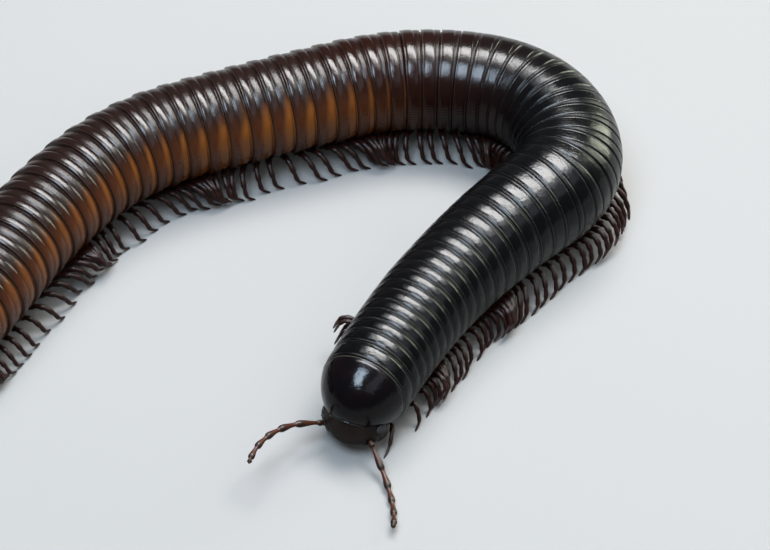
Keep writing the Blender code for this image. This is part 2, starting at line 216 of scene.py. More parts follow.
# a new geometry tree and its inputs by name; each tree takes a mesh and a material
def newGeometryTree(name, **sockets):
    tree = bpy.data.node_groups.new(name, "GeometryNodeTree")
    tree.interface.new_socket("Geometry", in_out="OUTPUT", socket_type="NodeSocketGeometry")
    sockets = dict(Geometry="Geometry", **sockets, material="Material")
    for label, kind in sockets.items():
        tree.interface.new_socket(label, in_out="INPUT", socket_type="NodeSocket" + kind)
    groupIn = tree.nodes.new("NodeGroupInput")
    return tree, {label: Flow(groupIn, label) for label in sockets}


def attributeOf(tree, name, kind="FLOAT"):
    return nodeOf(tree, "GeometryNodeInputNamedAttribute", {"Name": name}, "Attribute", data_type=kind)


def sampleOf(geometry, value, index, kind="FLOAT"):
    inputs = {"Geometry": geometry, "Value": value, "Index": index}
    return nodeOf(geometry.tree, "GeometryNodeSampleIndex", inputs, data_type=kind, clamp=True)


def storedIn(geometry, name, value):
    inputs = {"Geometry": geometry, "Name": name, "Value": value}
    return nodeOf(geometry.tree, "GeometryNodeStoreNamedAttribute", inputs, data_type="FLOAT", domain="POINT")


# realized, smooth and with its material: the end of every geometry tree here
def finishTree(tree, geometry, material):
    realized = nodeOf(tree, "GeometryNodeRealizeInstances", {"Geometry": geometry})
    smooth = nodeOf(tree, "GeometryNodeSetShadeSmooth", {"Geometry": realized})
    painted = nodeOf(tree, "GeometryNodeSetMaterial", {"Geometry": smooth, "Material": material})
    plug(tree.nodes.new("NodeGroupOutput").inputs["Geometry"], painted)


# Small helpers for meshes and pieces

# a named value at every point of a mesh, read by its tree or its material
def mark(mesh, label, values, kind="FLOAT"):
    field = "vector" if kind == "FLOAT_VECTOR" else "value"
    mesh.attributes.new(label, kind, "POINT").data.foreach_set(field, values)


# the points and edges that a tree grows its shape on
def guideMesh(name, points, edges, **values):
    mesh = bpy.data.meshes.new(name)
    mesh.from_pydata(points, edges, [])
    for label, row in values.items():
        mark(mesh, label, row)
    return mesh


def meshFrom(form, name):
    bmesh.ops.recalc_face_normals(form, faces=form.faces)
    mesh = bpy.data.meshes.new(name)
    form.to_mesh(mesh)
    form.free()
    return mesh


# a closed skin over rows of points that run round; a row of one point closes an end
def skinMesh(name, rows):
    form = bmesh.new()
    made = [[form.verts.new(point) for point in row] for row in rows]
    for low, high in zip(made, made[1:]):
        count = max(len(low), len(high))
        for i in range(count):
            j = (i + 1) % count
            corners = (low[i % len(low)], low[j % len(low)], high[j % len(high)], high[i % len(high)])
            form.faces.new(list(dict.fromkeys(corners)))
    return meshFrom(form, name)


# a closed plate between an outer and an inner sheet of points, both given row by row
def plateMesh(name, outer, inner):
    form = bmesh.new()
    made = [[form.verts.new(point) for point in row] for row in outer + inner[::-1]]
    for low, high in zip(made, made[1:] + made[:1]):
        for i in range(len(low) - 1):
            form.faces.new((low[i], low[i + 1], high[i + 1], high[i]))
    for top, topNext, below, belowNext in zip(made, made[1:len(outer)], made[::-1], made[-2::-1]):
        for end in (0, -1):
            form.faces.new((top[end], topNext[end], belowNext[end], below[end]))
    return meshFrom(form, name)


# rows of points over a ball-like form, with one point at each pole
def ballRows(steps, around, pointAt):
    rows = []
    for i in range(steps + 1):
        lat = -pi / 2 + pi * i / steps
        count = 1 if i in (0, steps) else around
        rows.append([pointAt(tau * k / around, lat) for k in range(count)])
    return rows


# a local frame in millimetres: its place on the floor and its three axes
def frameOf(place, *axes):
    return Matrix.Scale(mm, 4) @ Matrix.Translation(place) @ Matrix(axes).transposed().to_4x4()


def sharesOf(vector, size):
    return Vector([a / b for a, b in zip(vector, size)])


def newObject(name, data):
    obj = bpy.data.objects.new(name, data)
    bpy.context.scene.collection.objects.link(obj)
    return obj


# runs a geometry tree on a guide and keeps the result as a plain mesh object
def grown(name, guide, tree, **values):
    helper = newObject(name + "Guide", guide)
    modifier = helper.modifiers.new("grow", "NODES")
    modifier.node_group = tree
    for item in tree.interface.items_tree:
        if item.item_type == "SOCKET" and item.in_out == "INPUT" and item.name in values:
            modifier[item.identifier] = values[item.name]
    bpy.context.view_layer.update()
    mesh = bpy.data.meshes.new_from_object(helper.evaluated_get(bpy.context.evaluated_depsgraph_get()))
    bpy.data.objects.remove(helper)
    mesh.name = name
    return newObject(name, mesh)


def newPiece(name, mesh, material):
    mesh.materials.clear()
    mesh.materials.append(material)
    mesh.shade_smooth()
    return newObject(name, mesh)


def handOver(piece, slot, *nodes):
    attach(piece, "root")
    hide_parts(*nodes)


# Materials

# a new material, its shader, and the place on the object that its patterns follow
def newMaterial(name):
    material = bpy.data.materials.new(name)
    material.use_nodes = True
    tree = material.node_tree
    return material, tree.nodes["Principled BSDF"], nodeOf(tree, "ShaderNodeTexCoord", output="Object")


def shaderAttribute(tree, name):
    return nodeOf(tree, "ShaderNodeAttribute", output="Fac", attribute_type="GEOMETRY", attribute_name=name)


def noiseOf(vector, scale, detail=3.0, roughness=0.55):
    inputs = {"Vector": vector, "Scale": scale, "Detail": detail, "Roughness": roughness}
    return nodeOf(vector.tree, "ShaderNodeTexNoise", inputs, "Fac", noise_dimensions="3D")


def mixed(factor, first, second):
    first, second = (value if isinstance(value, Flow) else (*value, 1) for value in (first, second))
    return nodeOf(factor.tree, "ShaderNodeMix", {"Factor": factor, 6: first, 7: second}, 2, data_type="RGBA")


# depth in millimetres
def bumped(height, depth, strength=0.6, normal=None):
    inputs = {"Strength": strength, "Distance": depth * mm, "Height": height, "Normal": normal}
    return nodeOf(height.tree, "ShaderNodeBump", inputs, "Normal")


def dress(shader, colour, normal, roughness, ior):
    for name, value in (("Base Color", colour), ("Normal", normal), ("Roughness", roughness), ("IOR", ior)):
        plug(shader.inputs[name], value)


# a range is (from, to) or (from, to, value before, value after): over ring numbers, over the place from 0
# to 1 along a ring, or over the height from -1 at the belly to 1 on the back; reliefDepth, streakDepth,
# grainDepth and dentDepth are in millimetres, and the other depths are shares of reliefDepth
cuticle = dict(
    black=(0.0009, 0.0009, 0.0010), red=(0.0048, 0.0015, 0.0010),
    brown=(0.023, 0.00725, 0.0028), backBrown=(0.00425, 0.0021, 0.00165),
    amber=(0.066, 0.021, 0.004), amberLate=(0.049, 0.0165, 0.0045),
    rim=(0.00525, 0.0048, 0.0045), rimLate=(0.01, 0.0046, 0.003),
    # the margin colour is a painted highlight: a pale line along the collum's margins
    # the worn colour is pale wear together with a painted sheen of reflected light low on the flanks
    marginHighlight=(0.015, 0.013, 0.011), wornAndSheen=(0.110, 0.118, 0.108), pore=(0.004, 0.003, 0.003),
    stray=3.0, backFirst=4.0, redRings=(26.0, 37.5), brownRings=(36.5, 41.5), backHeight=(0.25, 0.85),
    ragged=0.16, raggedRings=0.07, raggedTop=0.5, amberWidth=(0.1, 0.85, 0.52, 0.30),
    amberSoft=(-0.20, 0.05), amberTop=(0.46, 0.88, 1.0, 0.0), amberRings=(35.0, 41.5),
    amberPatches=(0.25, 0.62, 0.6, 1.0), amberLuck=(0.0, 1.0, 0.78, 1.0), lateRings=(50.0, 56.0),
    rimPlace=(0.905, 0.925), rimRings=(30.0, 40.0), rimPatches=(0.3, 0.6, 0.35, 0.75),
    poreHeight=0.16, porePlace=0.54, poreStretch=(3.6, 8.5), poreEdge=(0.07, 0.16, 1.0, 0.0),
    poreFrom=(5.9, 6.0), poreUntil=(65.0, 65.1, 1.0, 0.0), poreDepth=4.0,
    lines=190.0, linePlace=(0.30, 0.38, 0.5, 0.0), lineDepth=0.35, streaks=(10.24, 9.9), streakDepth=0.05,
    furrows=105.0, furrowHeight=(-0.05, 0.35, 1.0, 0.0), furrowPlace=(0.38, 0.46), furrowDepth=0.9,
    # the worn ranges below place the pale wear and its painted sheen of reflected light on the lower flank of
    # the black rings
    wornAndSheenPatches=3.0, wornAndSheenEdge=(0.0, 1.2), wornAndSheenHeight=(-0.36, 0.06, 0.9, 0.0),
    wornAndSheenRings=(22.0, 32.0, 1.0, 0.0), reliefDepth=0.03,
    cloud=260.0, grain=1900.0, grainDepth=0.03, dents=520.0, dentDepth=0.16, dentRings=(20.0, 34.0, 1.0, 0.4),
    roughness=0.10, cloudRough=0.14, luckRough=0.06, frontRough=(0.30, 0.40, 0.06, 0.0),
    glossyRings=(7.0, 16.0, -0.04, 0.0), dullFrom=(17.0, 24.0), dullUntil=(33.0, 40.0, 0.02, 0.0), ior=1.235)


# the shell of the rings and the telson, black in front and banded amber behind
def shellMaterial(name):
    look = cuticle
    material, shader, where = newMaterial(name)
    tree = where.tree

    def ranged(value, name):
        return smoothStep(value, *look[name])

    ring, place, height, side = (
        shaderAttribute(tree, label) for label in ("ringNumber", "ringPlace", "flank", "across"))
    cloud = noiseOf(where, look["cloud"])
    patchy = cloud - 0.5
    draw = {"W": maths("FLOOR", ring)}
    luck = nodeOf(tree, "ShaderNodeTexWhiteNoise", draw, "Value", noise_dimensions="1D")
    steady = ring + patchy * look["stray"]
    early = steady + (0.5 - height) * look["backFirst"]
    base = mixed(ranged(early, "redRings"), look["black"], look["red"])
    brown = mixed(ranged(height, "backHeight"), look["brown"], look["backBrown"])
    base = mixed(ranged(early, "brownRings"), base, brown)

    # amber on the front part of each ring, widest at the belly and gone below the back
    ragged = place + patchy * look["ragged"] + luck * look["raggedRings"]
    widest = ranged(height, "amberWidth")
    band = 1.0 - ranged(ragged - widest, "amberSoft")
    band *= ranged(height + patchy * look["raggedTop"], "amberTop")
    band *= ranged(steady, "amberRings")
    band *= ranged(cloud, "amberPatches")
    band *= ranged(luck, "amberLuck")
    amber = mixed(ranged(ring, "lateRings"), look["amber"], look["amberLate"])
    colour = mixed(band, base, amber)
    rimTone = mixed(ranged(steady, "rimRings"), look["rim"], look["rimLate"])
    onRim = ranged(place, "rimPlace")
    colour = mixed(onRim * ranged(cloud, "rimPatches"), colour, rimTone)

    # a pore on each flank of a ring
    angle = maths("ARCTAN2", height, maths("ABSOLUTE", side))
    beside = (place - look["porePlace"]) * look["poreStretch"][0]
    above = (angle - look["poreHeight"]) * look["poreStretch"][1]
    pore = ranged(maths("SQRT", beside * beside + above * above), "poreEdge")
    pore *= ranged(ring, "poreFrom")
    pore *= ranged(ring, "poreUntil")
    colour = mixed(pore, colour, look["pore"])

    # streaks all over, lines round the front part of a ring, and furrows along the lower flank behind it
    wrapped = {0: ring * look["streaks"][0], 1: angle * look["streaks"][1]}
    streaks = noiseOf(nodeOf(tree, "ShaderNodeCombineXYZ", wrapped), 1.0, 4.0, 0.62)
    lines = maths("SINE", place * look["lines"]) * ranged(place, "linePlace")
    furrows = maths("SINE", angle * look["furrows"]) * ranged(height, "furrowHeight")
    furrows *= ranged(place, "furrowPlace")

    # the ridges between the furrows on the lower flank of the black rings are pale, partly wear and partly a
    # painted sheen of reflected light
    wornAndSheen = ranged(furrows + (streaks - 0.5) * look["wornAndSheenPatches"], "wornAndSheenEdge")
    wornAndSheen *= ranged(height, "wornAndSheenHeight")
    wornAndSheen *= ranged(steady, "wornAndSheenRings")
    colour = mixed(wornAndSheen, colour, look["wornAndSheen"])

    relief = lines * look["lineDepth"] + furrows * look["furrowDepth"] - pore * look["poreDepth"]
    normal = bumped(relief, look["reliefDepth"], 0.8)
    normal = bumped(streaks * (1.0 - onRim), look["streakDepth"], normal=normal)
    normal = bumped(noiseOf(where, look["grain"], 4.0, 0.6), look["grainDepth"], normal=normal)
    dents = noiseOf(where, look["dents"], 3.0, 0.5) * ranged(steady, "dentRings")
    normal = bumped(dents, look["dentDepth"], normal=normal)

    rough = look["roughness"] + cloud * look["cloudRough"] + (luck - 0.5) * look["luckRough"]
    rough += ranged(place, "frontRough") + ranged(ring, "glossyRings")
    rough += ranged(steady, "dullFrom") * ranged(steady, "dullUntil")
    dress(shader, colour, normal, rough, look["ior"])
    return material


# plain parts: one colour drifts to another, with a painted highlight on marked margins, and pits of a grain
# and a depth in millimetres
hornLook = dict(
    headShell=dict(colours=((0.0009, 0.0008, 0.0010), (0.0015, 0.0009, 0.0010)), roughness=0.10,
                   grain=430.0, depth=0.22, ior=1.235, coat=0.0),
    faceShell=dict(colours=((0.0035, 0.0024, 0.0019), (0.006, 0.0035, 0.0025)), roughness=0.24,
                   grain=600.0, depth=0.16, ior=1.19, coat=0.0),
    mouthShell=dict(colours=((0.013, 0.0045, 0.0029), (0.0065, 0.0026, 0.002)), roughness=0.2,
                    grain=900.0, depth=0.03, ior=1.235, coat=0.0),
    eyeFacet=dict(colours=((0.0025, 0.0025, 0.0035), (0.005, 0.005, 0.0065)), roughness=0.08,
                  grain=900.0, depth=0.03, ior=1.235, coat=0.25),
    cloud=320.0, patches=(0.35, 0.65), uneven=0.12, coatRoughness=0.1)


def hornMaterial(name):
    look = hornLook[name]
    material, shader, where = newMaterial(name)
    cloud = noiseOf(where, hornLook["cloud"])
    colour = mixed(smoothStep(cloud, *hornLook["patches"]), *look["colours"])
    # a painted highlight: the collum's marked margin rows take a pale line colour
    colour = mixed(shaderAttribute(where.tree, "marginHighlight"), colour, cuticle["marginHighlight"])
    normal = bumped(noiseOf(where, look["grain"], 4.0), look["depth"])
    dress(shader, colour, normal, look["roughness"] + cloud * hornLook["uneven"], look["ior"])
    shader.inputs["Coat Weight"].default_value = look["coat"]
    shader.inputs["Coat Roughness"].default_value = hornLook["coatRoughness"]
    return material


# legs and feelers: each segment darkens to its end, with a paler skin at the joint
limbLook = dict(
    legHorn=dict(shaft=(0.0066, 0.0014, 0.0008), knob=(0.0026, 0.0008, 0.0006),
                 joint=(0.011, 0.0030, 0.0017), tip=(0.0070, 0.0017, 0.0009), roughness=0.36),
    feelerHorn=dict(shaft=(0.019, 0.0050, 0.0020), knob=(0.0060, 0.0022, 0.0013),
                    joint=(0.028, 0.0100, 0.0048), tip=(0.0065, 0.0038, 0.0023), roughness=0.30),
    knobPlace=(0.45, 0.85), skin=(0.02, 0.09, 0.8, 0.0), tipPlace=(0.55, 1.0, 0.0, 0.85),
    patches=(0.4, 0.75, 0.0, 0.35), cloud=500.0, grain=2500.0, depth=0.03, uneven=0.15, ior=1.235)


def limbMaterial(name):
    look = limbLook[name]
    material, shader, where = newMaterial(name)
    inside = maths("FRACT", shaderAttribute(where.tree, "joint"))
    along = shaderAttribute(where.tree, "limbPlace")
    cloud = noiseOf(where, limbLook["cloud"])
    colour = mixed(smoothStep(inside, *limbLook["knobPlace"]), look["shaft"], look["knob"])
    colour = mixed(smoothStep(inside, *limbLook["skin"]), colour, look["joint"])
    colour = mixed(smoothStep(along, *limbLook["tipPlace"]), colour, look["tip"])
    colour = mixed(smoothStep(cloud, *limbLook["patches"]), colour, look["knob"])
    normal = bumped(noiseOf(where, limbLook["grain"]), limbLook["depth"])
    dress(shader, colour, normal, look["roughness"] + cloud * limbLook["uneven"], limbLook["ior"])
    return material


shell = shellMaterial("ringShell")
blackHorn, faceHorn, brownHorn, eyeHorn = (
    hornMaterial(name) for name in ("headShell", "faceShell", "mouthShell", "eyeFacet"))
legHorn, feelerHorn = (limbMaterial(name) for name in ("legHorn", "feelerHorn"))
print("materials made")


# The rings of the trunk

# profile: (place in a ring from its front groove to its rear groove, depth in mm below the body's radius
# at the front of the body, the same at its back, where the two parts of a ring bulge apart)
ringLook = dict(
    sides=96, spineSteps=8, frontPlate=2.6, backPlate=1.95, plateShare=(0.42, 0.82), split=0.385,
    profile=((0.0, 0.50, 0.60), (0.036, 0.48, 0.58), (0.066, 0.17, 0.42), (0.10, 0.11, 0.31),
             (0.17, 0.09, 0.25), (0.26, 0.09, 0.23), (0.335, 0.10, 0.26), (0.36, 0.135, 0.37),
             (0.38, 0.135, 0.37), (0.402, 0.075, 0.20), (0.45, 0.04, 0.11), (0.54, 0.012, 0.04),
             (0.66, 0.003, 0.01), (0.78, 0.012, 0.02), (0.865, 0.04, 0.06), (0.883, 0.10, 0.13),
             (0.895, 0.10, 0.13), (0.910, 0.03, 0.02), (0.925, 0.012, 0.0), (0.950, 0.012, 0.0),
             (0.962, 0.04, 0.03), (0.972, 0.42, 0.48), (1.0, 0.50, 0.60)),
    bulgeRings=(31.0, 43.0), calmFrom=(15.0, 20.0), calmUntil=(32.0, 37.0), calmed=0.82,
    calmDepth=(0.2, 0.36), seam=0.13, seamFrom=(0.34, 0.36), seamUntil=(0.38, 0.40),
    bellyEdge=0.06, weld=0.002, jitter=0.03, seed=11)


def ringedBodyTree():
    look = ringLook
    tree, given = newGeometryTree("ringedBody", rings="Int", firstRing="Float", sides="Int",
                                  frontPlate="Float", backPlate="Float", jitter="Float", seed="Int")
    spine = given["Geometry"]
    steps = len(look["profile"]) - 1

    # a flat grid, one row for each step of the profile; the outermost rows close the ends
    bodySteps = given["rings"] * steps
    size = {"Vertices X": bodySteps + 3, "Vertices Y": given["sides"] + 1}
    grid = nodeOf(tree, "GeometryNodeMeshGrid", size)
    position = nodeOf(tree, "GeometryNodeInputPosition")
    row = maths("ROUND", (axisOf(position, 0) + 0.5) * (bodySteps + 2))
    turned = maths("ROUND", (axisOf(position, 1) + 0.5) * given["sides"]) / given["sides"]
    angle = turned * tau - pi / 2
    across, height = maths("COSINE", angle), maths("SINE", angle)
    inner = clamped(row - 1.0, 0.0, bodySteps)
    openRow = maths("COMPARE", row - 1.0, inner, 0.1)

    ringIndex = maths("FLOOR", inner / steps + 0.001)                      # safe from rounding down
    step = (inner - ringIndex * steps) / steps
    place, flat, bulged = (
        curveOf(step, [(i / steps, stop[column]) for i, stop in enumerate(look["profile"])])
        for column in range(3))
    ringHere = given["firstRing"] + ringIndex
    bulge = smoothStep(ringHere, *look["bulgeRings"])
    depth = flat + (bulged - flat) * bulge
    # in the bend the parts of a ring lie almost flush, with the grooves and a seam between them
    calm = smoothStep(ringHere, *look["calmFrom"]) * smoothStep(ringHere, *look["calmUntil"], 1.0, 0.0)
    depth *= 1.0 - smoothStep(depth, *look["calmDepth"], look["calmed"], 0.0) * calm
    seam = smoothStep(place, *look["seamFrom"], 0.0, look["seam"])
    seam *= smoothStep(place, *look["seamUntil"], 1.0, 0.0)
    depth = (depth + seam * calm) * mm

    # the plates keep their length, so in a bend the front parts show more outside and less inside
    middle = ringIndex * look["spineSteps"] + look["spineSteps"] / 2
    ringLength, turn, width = (
        sampleOf(spine, attributeOf(tree, label), middle) for label in ("ringLength", "turn", "radius"))
    localLength = ringLength * (1.0 - turn * width * across)
    plate = given["frontPlate"] + (given["backPlate"] - given["frontPlate"]) * bulge
    share = clamped(plate / localLength, *look["plateShare"])
    inFront = place * (1.0 - share) / look["split"]
    inPlate = 1.0 - (1.0 - place) / (1 - look["split"]) * share
    isFront = maths("LESS_THAN", place, look["split"])
    chosen = inFront * isFront + inPlate * (1.0 - isFront)

    spinePlace = (ringIndex + chosen) * look["spineSteps"]
    lower = maths("FLOOR", spinePlace)
    part = spinePlace - lower

    def along(value, kind="FLOAT"):
        first, second = (sampleOf(spine, value, index, kind) for index in (lower, lower + 1.0))
        if kind == "FLOAT":
            return first + (second - first) * part
        return vectors("ADD", first, scaled(vectors("SUBTRACT", second, first), part))

    centre = along(position, "FLOAT_VECTOR")
    back = vectors("NORMALIZE", along(attributeOf(tree, "back", "FLOAT_VECTOR"), "FLOAT_VECTOR"))
    right = vectors("CROSS_PRODUCT", (0, 0, 1), back)

    # each ring is a little larger or smaller, in its middle
    draw = {2: given["jitter"] * -mm, 3: given["jitter"] * mm, "ID": ringHere, "Seed": given["seed"]}
    luck = nodeOf(tree, "FunctionNodeRandomValue", draw, 1, data_type="FLOAT")
    reach = (along(attributeOf(tree, "radius")) - depth + luck * maths("SINE", place * pi)) * openRow
    rise = maths("SMOOTH_MAX", height, -body["flatness"], look["bellyEdge"])
    spot = vectors("ADD", centre, scaled(right, across * reach))
    spot = vectors("ADD", spot, nodeOf(tree, "ShaderNodeCombineXYZ", {2: rise * reach}))

    made = grid
    for label, value in (("ringNumber", ringHere + chosen), ("ringPlace", place), ("flank", height),
                         ("across", across)):
        made = storedIn(made, label, value)
    moved = nodeOf(tree, "GeometryNodeSetPosition", {"Geometry": made, "Position": spot})
    welded = nodeOf(tree, "GeometryNodeMergeByDistance", {"Geometry": moved, "Distance": look["weld"] * mm})
    finishTree(tree, welded, given["material"])
    return tree


# the guide of some rings: points along the body's axis with what the tree needs to know there
def spineMesh(name, first, last):
    count = (last + 1 - first) * ringLook["spineSteps"] + 1
    points, backs, radii, turns, sizes = [], [], [], [], []
    for i in range(count):
        ring = first + i / ringLook["spineSteps"]
        length = lengthAtRing(ring)
        centre, back, _, turn = planAt(length)
        points.append((centre + up * axisAt(length)) * mm)
        backs += list(back)
        radii.append(radiusAt(length) * mm)
        turns.append(turn / mm)
        whole = min(floor(ring), body["rings"])
        sizes.append((starts[whole] - starts[whole - 1]) * mm)
    edges = [(i, i + 1) for i in range(count - 1)]
    mesh = guideMesh(name, points, edges, radius=radii, turn=turns, ringLength=sizes)
    mark(mesh, "back", backs, "FLOAT_VECTOR")
    return mesh


# name, first and last ring, slot, lengths of trunk in the solids
ringGroups = (("frontRings", 2, 21, "black_cuticle", range(1, 5)),
              ("bendRings", 22, 36, "brown_cuticle", range(5, 8)),
              ("backRings", 37, 66, "amber_cuticle", range(8, 14)))
ringTree = ringedBodyTree()
for name, first, last, slot, lengths in ringGroups:
    piece = grown(name, spineMesh(name, first, last), ringTree, rings=last + 1 - first,
                  firstRing=float(first), sides=ringLook["sides"], frontPlate=ringLook["frontPlate"] * mm,
                  backPlate=ringLook["backPlate"] * mm, jitter=ringLook["jitter"], seed=ringLook["seed"],
                  material=shell)
    handOver(piece, slot, *(f"trunk_{i:02d}" for i in lengths))
print("rings made")


# The legs

# joints: (share of the way out from the middle to the foot, share of the foot's step ahead, height in mm,
# thickness as a share); the first two take their heights from the belly, and the last from the floor
legLook = dict(
    referenceRadius=9.2, reach=10.4, sweep=1.6, clawHook=1.2, firstDouble=5, single=(0.5,),
    double=(0.27, 0.77), leglessTail=2, wave=8.0, waveStart=7.1, stepShare=0.13, lift=1.5, spread=1.0,
    kneeShare=0.35, raisedPlace=7.6, raisedWidth=1.1, raisedLift=4.7, raisedSpread=2.1,
    frontReach=((2.5, 0.7), (3.5, 1.0)), frontSweep=((2.5, 2.5), (3.5, 0.0)), tuckedUntil=4.0,
    tucked=(0.85, 2.2), tightest=0.5, thickness=0.62, kneeClearance=0.8, foot=0.10,
    hip=(1.5, 1.3), secondDrop=0.75, strayStep=0.4, strayLift=0.8, straySpread=0.5,
    liftFrom=(0.4, 0.6), spreadFrom=0.5, swingBend=1.3, seed=5,
    joints=((0.136, 0.0, None, 0.95), (0.30, 0.0, None, 1.0), (0.47, -0.04, 3.2, 1.0),
            (0.66, -0.02, 4.4, 0.98), (0.815, 0.12, 4.35, 0.94), (0.93, 0.44, 2.9, 0.84),
            (0.99, 0.82, 1.15, 0.66), (1.0, 1.0, None, 0.22)),
    knees=(3, 4), swell=((0.0, 0.74), (0.12, 0.70), (0.3, 0.86), (0.75, 1.0), (0.92, 0.97), (1.0, 0.74)),
    cuts=5, sides=8)


def undersideAt(length, out):
    radius = radiusAt(length)
    drop = sqrt(max(radius ** 2 - out ** 2, 0))
    return axisAt(length) - min(drop, body["flatness"] * radius)


def legJoints(length, side, chance):
    look = legLook
    centre, back, right, turn = planAt(length)
    outward = right * side
    size = radiusAt(length) / look["referenceRadius"]
    # on the inside of a bend the legs are shorter, down to what the tightest turn leaves room for
    inward = turn * side
    fold = 1.0 if inward <= 0 else min(1.0, look["tightest"] / inward / look["reach"])
    ring = ringAtLength(length)
    reach = look["reach"] * min(size, fold) * between(look["frontReach"], ring)
    # the legs bunch and spread in waves, and one group is raised
    phase = tau * (ring - look["waveStart"]) / look["wave"]
    swing = sin(phase) * look["stepShare"] * look["wave"] * between(body["ringLengths"], ring) * fold
    bunch = max(0.0, cos(phase)) * fold ** 4
    raised = max(0.0, 1 - ((ring - look["raisedPlace"]) / look["raisedWidth"]) ** 2) if side > 0 else 0.0
    lift = bunch * look["lift"] + raised * look["raisedLift"]
    spread = bunch * look["spread"] + raised * look["raisedSpread"]
    ahead = look["sweep"] * fold + between(look["frontSweep"], ring)
    if side > 0 and ring < look["tuckedUntil"]:
        reach *= look["tucked"][0]
        ahead -= look["tucked"][1]
    swing += chance.uniform(-look["strayStep"], look["strayStep"]) * fold
    lift += chance.uniform(0.0, look["strayLift"]) * bunch
    spread += chance.uniform(-look["straySpread"], look["straySpread"]) * fold
    belly = bellyAt(length)
    foot = len(look["joints"]) - 1
    joints = []
    for number, (outShare, aheadShare, height, thick) in enumerate(look["joints"]):
        out = outShare * reach
        if number == 0:
            out, z = look["hip"][0], belly + look["hip"][1]
        elif number == 1:
            z = belly - look["secondDrop"] * size
        elif number == foot:
            z = look["foot"] + lift
        else:
            z = height * size
            if number in look["knees"]:
                z = min(z, undersideAt(length, out) - look["kneeClearance"])
            first, full = look["liftFrom"]
            z += lift * min(1.0, max(look["kneeShare"], (outShare - full) / (1 - full))) * (outShare > first)
        out += spread * max(0.0, (outShare - look["spreadFrom"]) / (1 - look["spreadFrom"]))
        forward = ahead * aheadShare + swing * outShare ** look["swingBend"]
        if number == foot:
            forward += look["clawHook"] * fold
        place = centre + outward * out - back * forward + up * z
        joints.append((place * mm, thick * size * look["thickness"] * mm))
    return joints


# jointed limbs: each chain of edges becomes a tube that swells between its joints
def jointedLimbTree(name, swell):
    tree, given = newGeometryTree(name, cuts="Int", sides="Int")
    chain = nodeOf(tree, "GeometryNodeMeshToCurve", {"Mesh": given["Geometry"]})
    curved = nodeOf(tree, "GeometryNodeCurveSplineType", {"Curve": chain}, spline_type="CATMULL_ROM")
    finer = {"Geometry": curved, "Resolution": given["cuts"]}
    dense = {"Curve": nodeOf(tree, "GeometryNodeSetSplineResolution", finer)}
    circle = nodeOf(tree, "GeometryNodeCurvePrimitiveCircle", {"Resolution": given["sides"], "Radius": 1.0})
    inside = maths("FRACT", attributeOf(tree, "joint") + 0.0005)           # safe from rounding down
    width = attributeOf(tree, "thickness") * curveOf(inside, swell)
    skin = {"Curve": nodeOf(tree, "GeometryNodeResampleCurve", dense, mode="EVALUATED"),
            "Profile Curve": circle, "Scale": width, "Fill Caps": True}
    finishTree(tree, nodeOf(tree, "GeometryNodeCurveToMesh", skin), given["material"])
    return tree


def chainMesh(name, chains):
    points, edges, joint, thickness, place = [], [], [], [], []
    for chain in chains:
        base = len(points)
        for number, (spot, thick) in enumerate(chain):
            points.append(spot)
            joint.append(float(number))
            thickness.append(thick)
            place.append(number / (len(chain) - 1))
        edges += [(base + i, base + i + 1) for i in range(len(chain) - 1)]
    return guideMesh(name, points, edges, joint=joint, thickness=thickness, limbPlace=place)


legTree = jointedLimbTree("jointedLeg", legLook["swell"])
chance = random.Random(legLook["seed"])
for name, (_, first, last, _, lengths) in zip(("frontLegs", "bendLegs", "backLegs"), ringGroups):
    chains = []
    for ring in range(first, min(last, body["rings"] - legLook["leglessTail"]) + 1):
        places = legLook["double"] if ring >= legLook["firstDouble"] else legLook["single"]
        for side in (1, -1):
            for place in places:
                chains.append(legJoints(lengthAtRing(ring + place), side, chance))
    piece = grown(name, chainMesh(name, chains), legTree, cuts=legLook["cuts"], sides=legLook["sides"],
                  material=legHorn)
    handOver(piece, "brown_cuticle", *(f"trunk_{i:02d}" for i in lengths))
print("legs made")


# The head, in its own frame: x to the animal's right, y ahead, z up, in millimetres

_, neckBack, neckRight, _ = planAt(3.0)               # the head looks the way the body runs here
headPlace = frameOf(planAt(0)[0], neckRight, -neckBack, up)
sides = (("Right", 1), ("Left", -1))


def bump(x, centre, width):
    return exp(-((x - centre) / width) ** 2)


def toSide(spot, side):
    return Vector((spot.x * side, spot.y, spot.z))


# forms: (height in mm, latitude, reach in latitude, reach to the sides in mm, whether in front only)
headLook = dict(
    centre=Vector((-0.1, -4.7, 4.5)), size=Vector((5.65, 4.5, 3.5)), around=120, rows=84,
    forms=((1.3, 1.15, 0.42, inf, False),            # crown, under the shield
           (-0.16, 0.75, 0.35, 0.22, False),         # furrow on the crown
           (0.30, -0.35, 0.3, 2.6, True),            # clypeus
           (-0.34, -0.78, 0.14, 0.75, True),         # notch of the lip
           (-0.12, -0.62, 0.05, 2.6, True)),         # edge of the lip
    socket=Vector((4.25, -1.55, 4.2)), socketDepth=0.55, socketRadius=0.8, socketRim=(1.12, 0.25),
    rimHeight=0.14, eye=Vector((5.0, -3.7, 5.6)), eyeHeight=0.10, eyeReach=1.3)


# the head's surface: an ellipsoid with its furrow, clypeus, feeler sockets and notched lip
def headPoint(lon, lat, grow=0.0):
    look = headLook
    ray = Vector((sin(lon) * cos(lat), cos(lon) * cos(lat), sin(lat)))
    out = Vector([r * (s + grow) for r, s in zip(ray, look["size"])])
    point = look["centre"] + out
    swell = 0.0
    for height, middle, reach, beside, frontOnly in look["forms"]:
        if ray.y > 0 or not frontOnly:
            swell += height * bump(lat, middle, reach) * bump(out.x, 0, beside)
    for side in (1, -1):
        gap = (point - toSide(look["socket"], side)).length
        swell -= look["socketDepth"] * exp(-(gap / look["socketRadius"]) ** 4)
        swell += look["rimHeight"] * bump(gap, *look["socketRim"])
        gap = (point - toSide(look["eye"], side)).length
        swell += look["eyeHeight"] * bump(gap, 0, look["eyeReach"])
    return point + ray * swell


